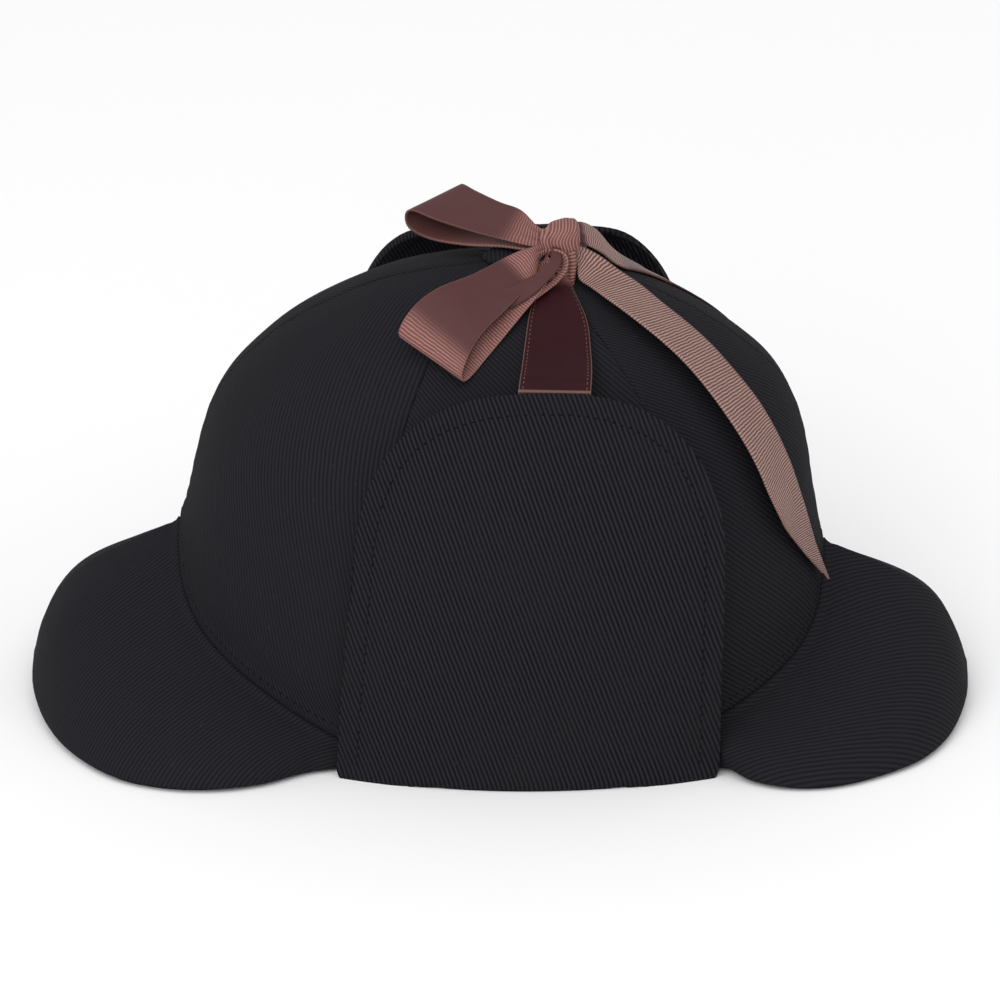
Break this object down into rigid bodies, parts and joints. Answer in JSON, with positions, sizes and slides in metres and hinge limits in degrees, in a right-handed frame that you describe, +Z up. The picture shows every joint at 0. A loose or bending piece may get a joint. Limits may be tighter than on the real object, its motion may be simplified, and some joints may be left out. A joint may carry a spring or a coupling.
{
  "type": "deerstalker hat",
  "caption": "Deerstalker hat: gored domed crown, arched peaks front and back, ear flaps folded up and tied over the top with a ribbon bow.",
  "frame": {"origin": "on the table, under the middle of the hat", "axes": "+Z up, -X towards the front peak, -Y towards the wearer's left ear flap"},
  "size_m": [0.3026, 0.169, 0.1604],
  "materials": {
    "black_twill": "matte",
    "brown_ribbon": "satin"
  },
  "bodies": {
    "root": {"gore_front_left": "black_twill", "gore_side_left": "black_twill", "gore_back_left": "black_twill", "gore_back_right": "black_twill", "gore_side_right": "black_twill", "gore_front_right": "black_twill", "crown_button": "black_twill", "front_peak": "black_twill", "back_peak": "black_twill", "ear_flap_left": "black_twill", "ear_flap_right": "black_twill", "tie_left": "brown_ribbon", "tie_right": "brown_ribbon", "bow_knot": "brown_ribbon", "bow_loop_high": "brown_ribbon", "bow_loop_low": "brown_ribbon", "bow_tail_left": "brown_ribbon", "bow_tail_right": "brown_ribbon"}
  },
  "joints": []
}
